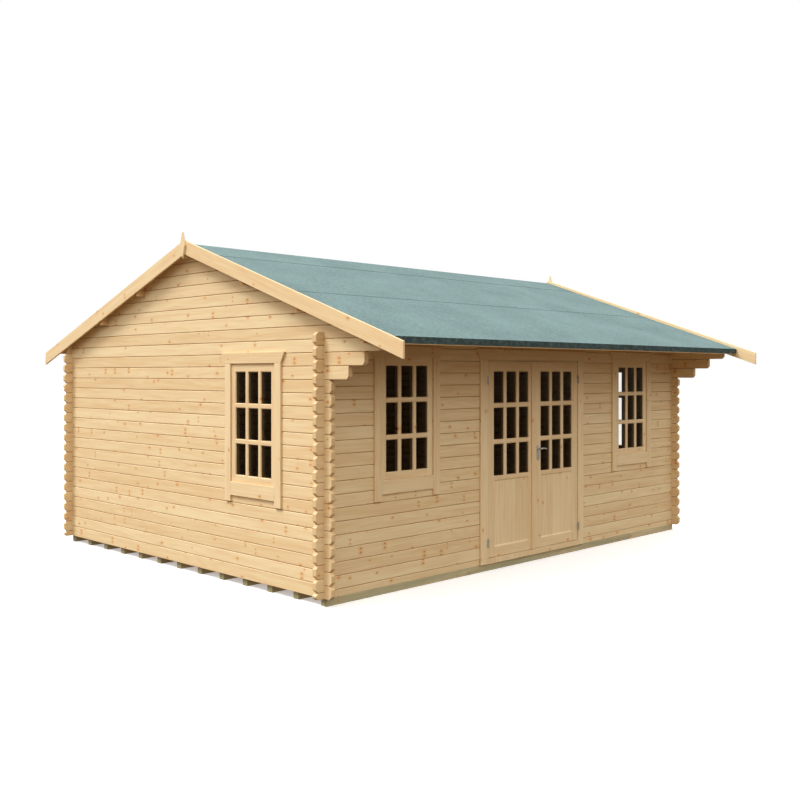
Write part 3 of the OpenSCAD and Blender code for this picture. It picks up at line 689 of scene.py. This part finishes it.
class CABIN_OT_joinery(bpy.types.Operator):
    """Finish of the door, the windows and their trims"""

    bl_idname = "cabin.joinery"
    bl_label = "Door and Windows"

    def execute(self, context):
        timber = settings("timber")
        wood = dict(light=timber.joinery_light, dark=timber.joinery_dark, knot=timber.knot)
        low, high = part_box("left_door")
        glass_low = low.z + LEAF_MIDDLE_RAIL[1]
        rails = [(low.z, low.z + LEAF_FOOT_RAIL), (low.z + LEAF_MIDDLE_RAIL[0], glass_low),
                 (high.z - LEAF_TOP_RAIL, high.z), *self.bars(glass_low, LEAF_PANE, LEAF_BAR)]
        leaf = timber_material("planed_spruce_leaves", joinery_grain("X", 0, LEAF_RAILS, rails),
                               knots=0.1, **wood)
        dress(leaf, "left_door", "right_door")
        # The head of the frame lies level above the leaves, and the threshold below them
        level = [(high.z - 0.01, 2.4), (0, 0.2)]
        grain = joinery_grain("X", 0, (0.0, DOORWAY_HALF), level)
        frame_face = timber_material("planed_spruce_frames", grain, knots=0.1, **wood)
        dress(frame_face, "door_frame", "door_threshold")
        for node in ("front_left_window", "front_right_window", "left_gable_window", "right_gable_window"):
            low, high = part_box(node)
            across = "X" if node.startswith("front") else "Y"
            middle = (low.x + high.x) / 2 if across == "X" else (low.y + high.y) / 2
            base = low.z + SASH_EDGE
            rails = [(low.z, base), (high.z - SASH_EDGE, high.z), *self.bars(base, SASH_PANE, SASH_BAR)]
            grain = joinery_grain(across, middle, (-SASH_HALF, SASH_HALF), rails)
            dress(timber_material(f"planed_spruce_{node}", grain, knots=0.1, **wood), node)
        trims = timber_material("planed_spruce_trims", board_grain, knots=0.3, **wood)
        for index, node in enumerate(("front_left_window_trim", "front_right_window_trim",
                                      "left_gable_window_trim", "right_gable_window_trim", "door_trim")):
            self.trim(Boards(timber.seed + 20 + index), node, trims, timber.arris)
        dress(glass_material("float_glass"), "window_glass", "left_door_glass", "right_door_glass")
        return {"FINISHED"}

    @staticmethod
    def bars(base, pane, bar):
        """Heights of the two level bars between three rows of panes"""
        return [(base + pane + i * (pane + bar), base + (i + 1) * (pane + bar)) for i in range(2)]

    def trim(self, boards, node, wood, arris):
        """Head board, side boards and, on a window, the board below the sash"""
        low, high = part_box(node)
        door = node == "door_trim"
        side_w = DOOR_TRIM_W if door else WINDOW_TRIM_W
        gable = "gable" in node
        start, end = (low.y, high.y) if gable else (low.x, high.x)
        middle, half = (start + end) / 2, (end - start) / 2 - TRIM_LEAN
        thick = high.x - low.x if gable else high.y - low.y
        if gable:
            place = Matrix.Translation((low.x, 0, 0)) @ lying("X")
        else:
            place = Matrix.Translation((0, high.y, 0)) @ Matrix.Rotation(math.pi / 2, 4, "X")
        head = high.z - TRIM_HEAD
        boards.board([(middle - half, head), (middle + half, head), (middle + half + TRIM_LEAN, high.z),
                      (middle - half - TRIM_LEAN, high.z)], place, thick, (1, 0, 0), arris)
        for side in (-1, 1):
            inner, outer = middle + side * (half - side_w), middle + side * half
            boards.board(box_outline(min(inner, outer), max(inner, outer), low.z, head - HAIRLINE),
                         place, thick, (0, 1, 0), arris)
        if not door:
            top = low.z + TRIM_LEG - APRON_DROP
            inner = half - side_w - HAIRLINE
            boards.board(box_outline(middle - inner, middle + inner, top - APRON_H, top), place, thick,
                         (1, 0, 0), arris)
        boards.finish(node + "_boards", wood, "trim_wood", node)


class CABIN_OT_furniture(bpy.types.Operator):
    """Hinges, handle plates with their lock, and the lever handles"""

    bl_idname = "cabin.furniture"
    bl_label = "Door Furniture"

    def execute(self, context):
        furniture = settings("furniture")
        metal = metal_material("satin_nickel", furniture.metal_light, furniture.metal_dark)
        dress(metal, "frame_hinges", "left_door_hinges", "right_door_hinges")
        self.plates(metal)
        self.levers(metal)
        self.hinge_caps(metal)
        return {"FINISHED"}

    def plates(self, metal):
        """Long plates with rounded edges, a lock and two screws, on both faces of the leaf"""
        low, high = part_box("door_handle_plates")
        width = high.x - low.x
        x, z = (low.x + high.x) / 2, (low.z + high.z) / 2
        reach = (high.z - low.z - width) / 2
        bm = bmesh.new()
        for y, turn in ((low.y + PLATE_T, 1), (high.y - PLATE_T, -1)):
            place = facing_front(x, y, z, turn)
            flat = Matrix.Diagonal((width / 2, width / 2, 1, 1))
            made = drawn(bm, [place @ flat, place @ Matrix.Translation((0, 0, PLATE_T)) @ flat], 48)
            # A round plate is pulled apart into a long one with round ends
            for v in made:
                v.co.z += reach if v.co.z > z + NEARLY else -reach
            top = y - turn * PLATE_T
            rim = [e for v in made for e in v.link_edges
                   if all(abs(w.co.y - top) < NEARLY for w in e.verts)]
            bmesh.ops.bevel(bm, geom=list(set(rim)), offset=0.0016, segments=3, profile=0.5,
                            affect="EDGES", material=-1)
            # Up from the middle, radius and rise of the two screws, the lock and the lever's boss
            for up, radius, rise in ((reach + 0.006, 0.0042, 0.0014), (-reach - 0.006, 0.0042, 0.0014),
                                     (LOCK_Z, 0.0088, 0.0022), (BOSS_Z, 0.0135, 0.0045)):
                self.dome(bm, facing_front(x, top, z + up, turn), radius, rise)
        fitting("door_handle_plate_pair", bm, metal, "right_door", "door_handle_plates")
        # The keyholes of the lock are small near-black pieces: painted shade standing for the hollow of the
        # keyway
        slot = bmesh.new()
        for top, turn in ((low.y, 1), (high.y, -1)):
            place = facing_front(x, top, z + LOCK_Z, turn) @ Matrix.Translation((0, 0, 0.0012))
            flat = Matrix.Diagonal((0.0011, 0.0048, 1, 1))
            drawn(slot, [place @ flat, place @ Matrix.Translation((0, 0, 0.0012)) @ flat], 12)
        dark = metal_material("painted_keyhole_shade", linear("#3a3835"), linear("#24221f"))
        fitting("lock_slots", slot, dark, "right_door")

    def levers(self, metal):
        """Gently bent levers with a swelling at the tip, on one spindle"""
        low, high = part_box("door_lever")
        x, z = low.x + LEVER_R, (low.z + high.z) / 2
        length = high.x - x
        # How far along, how far up, half height and half depth of the section
        shape = [(0.0, 0.0, 0.0090, 0.0078), (0.10, 0.0012, 0.0086, 0.0074),
                 (0.22, 0.0030, 0.0076, 0.0066), (0.38, 0.0040, 0.0068, 0.0060),
                 (0.55, 0.0032, 0.0066, 0.0058), (0.72, 0.0008, 0.0070, 0.0060),
                 (0.86, -0.0024, 0.0078, 0.0064), (0.94, -0.0042, 0.0080, 0.0066),
                 (0.985, -0.0050, 0.0066, 0.0056), (1.0, -0.0052, 0.0036, 0.0032)]
        bm = bmesh.new()
        for y, turn in ((low.y + LEVER_R, 1), (high.y - LEVER_R, -1)):
            stations = [Matrix.Translation((x - 0.0088, y, z)) @ self.section(0.0042, 0.0036),
                        Matrix.Translation((x - 0.0068, y, z)) @ self.section(0.0072, 0.0062)]
            stations += [Matrix.Translation((x + along * length, y, z + up)) @ self.section(tall, deep)
                         for along, up, tall, deep in shape]
            drawn(bm, stations, 24)
            neck = facing_front(x, y, z, turn)
            reach = abs(y - (low.y + high.y) / 2)
            drawn(bm, self.turned(neck, ((-reach, 0.0086), (-0.012, 0.0086), (-0.002, 0.0078),
                                         (0.003, 0.0050))), 24)
        fitting("lever_pair", bm, metal, "door_lever", "door_lever")

    def hinge_caps(self, metal):
        """Small turned caps on the ends of the hinge barrels"""
        for node, body, end in (("left_door_hinges", "left_door", 1),
                                ("right_door_hinges", "right_door", 1), ("frame_hinges", "cabin", -1)):
            low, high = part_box(node)
            y = low.y + BARREL_R
            xs = (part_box("left_door_hinges")[0].x + BARREL_R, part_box("right_door_hinges")[1].x - BARREL_R)
            zs = (low.z + BARREL_L, high.z)
            if node == "frame_hinges":
                zs = (low.z, high.z - BARREL_L)
            else:
                xs = xs[:1] if node.startswith("left") else xs[1:]
            bm = bmesh.new()
            for x in xs:
                for z in zs:
                    place = Matrix.Translation((x, y, z)) @ Matrix.Diagonal((1, 1, end, 1))
                    drawn(bm, self.turned(place, ((-0.002, 0.0074), (0.0015, 0.0074), (0.0025, 0.0050),
                                                  (0.0040, 0.0046), (0.0060, 0.0052), (0.0080, 0.0038),
                                                  (0.0090, 0.0014))), 16)
            fitting(node.rstrip("s") + "_caps", bm, metal, body)

    @staticmethod
    def turned(place, profile):
        """Stations of a turned piece: its distances along Z of `place`, each with a radius"""
        return [place @ Matrix.Translation((0, 0, up)) @ Matrix.Diagonal((wide, wide, 1, 1))
                for up, wide in profile]

    @staticmethod
    def section(tall, deep):
        """A section across a bar that runs along X"""
        return Matrix.Rotation(math.pi / 2, 4, "Y") @ Matrix.Diagonal((tall, deep, 1, 1))

    def dome(self, bm, place, radius, rise):
        """A low dome standing on a face, sunk in it by a hair"""
        drawn(bm, self.turned(place, [(rise * up - 0.0004, radius * wide) for up, wide in (
            (0.0, 1.0), (0.35, 0.97), (0.7, 0.84), (0.92, 0.55), (1.0, 0.2))]), 20)


class CABIN_OT_floor(bpy.types.Operator):
    """Floor boards and bearers"""

    bl_idname = "cabin.floor"
    bl_label = "Floor"

    def execute(self, context):
        timber = settings("timber")
        wood = timber_material("planed_spruce_floor", board_grain, linear("#e6bf8a"), linear("#bf8a50"),
                               linear("#7d4820"))
        low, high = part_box("floor_boards")
        boards = Boards(timber.seed + 11)
        count = round((high.y - low.y) / timber.floor_board)
        width = (high.y - low.y) / count
        for i in range(count):
            outline = box_outline(low.y + i * width, low.y + (i + 1) * width, low.z, high.z)
            boards.board(outline, Matrix.Translation((low.x, 0, 0)) @ lying("X"), high.x - low.x, (0, 0, 1),
                         0.0015)
        boards.finish("floor_planks", wood, "floor_wood", "floor_boards")
        treated = timber_material("pressure_treated_bearers", board_grain, timber.treated_light,
                                  timber.treated_dark, linear("#5a4a30"), knots=0.35, roughness=0.8)
        low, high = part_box("floor_bearers")
        boards = Boards(timber.seed + 12)
        pitch = (high.y - low.y - BEARER_W) / (BEARER_ROWS - 1)
        joints = [low.x, *BEARER_JOINTS, high.x]
        for i in range(BEARER_ROWS):
            y = low.y + i * pitch
            for a, b in zip(joints, joints[1:]):
                boards.board(box_outline(y, y + BEARER_W, low.z, high.z),
                             Matrix.Translation((a + BEARER_GAP, 0, 0)) @ lying("X"),
                             b - a - 2 * BEARER_GAP, (0, 0, 1), timber.arris)
        boards.finish("bearer_lengths", treated, "treated_wood", "floor_bearers")
        return {"FINISHED"}


class CABIN_OT_stage(bpy.types.Operator):
    """Camera, lights and a pale floor"""

    bl_idname = "cabin.stage"
    bl_label = "Stage"

    def execute(self, context):
        stage = settings("stage")
        scene = context.scene
        data = bpy.data.cameras.new("camera")
        data.lens = stage.lens
        data.sensor_width = 36
        data.shift_y = stage.rise
        camera = bpy.data.objects.new("camera", data)
        camera.location = stage.eye
        camera.rotation_euler = (math.pi / 2, 0, -stage.turn)
        scene.collection.objects.link(camera)
        scene.camera = camera

        world = bpy.data.worlds.new("studio_surround")
        world.use_nodes = True
        tree = world.node_tree
        tree.nodes.clear()
        way = add(tree, "ShaderNodeTexCoord")
        split = add(tree, "ShaderNodeSeparateXYZ", {0: way.outputs["Generated"]})
        # Light comes from a white ceiling; what stands low round the cabin is dim and warm. Rays that
        # haven't been scattered yet see plain white, and so does the camera.
        dome = add(tree, "ShaderNodeMapRange",
                   {0: split.outputs["Z"], 1: -0.05, 2: 0.35, 3: stage.low, 4: stage.sky})
        path = add(tree, "ShaderNodeLightPath")
        bounces = add(tree, "ShaderNodeMath",
                      {0: path.outputs["Diffuse Depth"], 1: path.outputs["Glossy Depth"]}, operation="ADD")
        seen = add(tree, "ShaderNodeMath", {0: bounces, 1: 0.5}, operation="LESS_THAN")
        shown = add(tree, "ShaderNodeMixRGB", {0: seen, 1: dome, 2: linear("#ffffff")})
        warmth = add(tree, "ShaderNodeMapRange",
                     {0: split.outputs["Z"], 1: -0.05, 2: 0.35, 3: 1.0, 4: 0.0})
        tint = add(tree, "ShaderNodeMixRGB", {0: warmth, 1: linear("#ffffff"), 2: linear("#f4dcb8")})
        hue = add(tree, "ShaderNodeMixRGB", {0: seen, 1: tint, 2: linear("#ffffff")})
        back = add(tree, "ShaderNodeBackground", {"Color": hue, "Strength": shown})
        add(tree, "ShaderNodeOutputWorld", {"Surface": back})
        scene.world = world
        scene.view_settings.view_transform = "Standard"

        sun = bpy.data.lights.new("key", "SUN")
        sun.energy = stage.key
        sun.angle = math.radians(18)
        lamp = bpy.data.objects.new("key", sun)
        lamp.rotation_euler = Vector((-0.46, 0.34, 0.82)).to_track_quat("Z", "Y").to_euler()
        scene.collection.objects.link(lamp)

        mesh = bmesh.new()
        bmesh.ops.create_grid(mesh, x_segments=1, y_segments=1, size=120.0)
        data = bpy.data.meshes.new("studio_floor")
        mesh.to_mesh(data)
        mesh.free()
        made, tree, shader = new_material("pale_floor")
        place = add(tree, "ShaderNodeTexCoord").outputs["Object"]
        noise = add(tree, "ShaderNodeTexNoise", {"Vector": place, "Scale": 0.8, "Detail": 2.0})
        tint = add(tree, "ShaderNodeMixRGB",
                   {0: noise.outputs[0], 1: linear("#f4f4f3"), 2: linear("#f0f0ef")})
        tree.links.new(tint.outputs[0], shader.inputs["Base Color"])
        shader.inputs["Roughness"].default_value = 0.9
        shader.inputs["Specular IOR Level"].default_value = 0.2
        shader.inputs["Emission Color"].default_value = linear("#ffffff")
        shader.inputs["Emission Strength"].default_value = 0.35
        data.materials.append(made)
        floor = bpy.data.objects.new("studio_floor", data)
        floor.visible_diffuse = False
        floor.visible_glossy = False
        floor.visible_transmission = False
        scene.collection.objects.link(floor)
        return {"FINISHED"}


class CABIN_PT_panel(bpy.types.Panel):
    bl_idname = "CABIN_PT_panel"
    bl_label = "Log Cabin"
    bl_space_type = "VIEW_3D"
    bl_region_type = "UI"
    bl_category = "Cabin"

    def draw(self, context):
        for operator in OPERATORS:
            self.layout.operator(operator.bl_idname)
        for kind, group in GROUPS.items():
            for name in group.__annotations__:
                self.layout.prop(getattr(context.scene, kind), name)


OPERATORS = (
    CABIN_OT_stage,
    CABIN_OT_logs,
    CABIN_OT_roof,
    CABIN_OT_bargeboards,
    CABIN_OT_joinery,
    CABIN_OT_furniture,
    CABIN_OT_floor,
)
GROUPS = {
    "cabin_timber": CabinTimber,
    "cabin_roof": CabinRoof,
    "cabin_furniture": CabinFurniture,
    "cabin_stage": CabinStage,
}


def register():
    for item in (*GROUPS.values(), *OPERATORS, CABIN_PT_panel):
        bpy.utils.register_class(item)
    for name, group in GROUPS.items():
        setattr(bpy.types.Scene, name, bpy.props.PointerProperty(type=group))


def unregister():
    for name in GROUPS:
        delattr(bpy.types.Scene, name)
    for item in (CABIN_PT_panel, *reversed(OPERATORS), *reversed(GROUPS.values())):
        bpy.utils.unregister_class(item)


def main():
    register()
    bpy.ops.cabin.stage()
    bpy.ops.cabin.logs()
    bpy.ops.cabin.roof()
    bpy.ops.cabin.bargeboards()
    bpy.ops.cabin.joinery()
    bpy.ops.cabin.furniture()
    bpy.ops.cabin.floor()


if __name__ == "__main__":
    main()
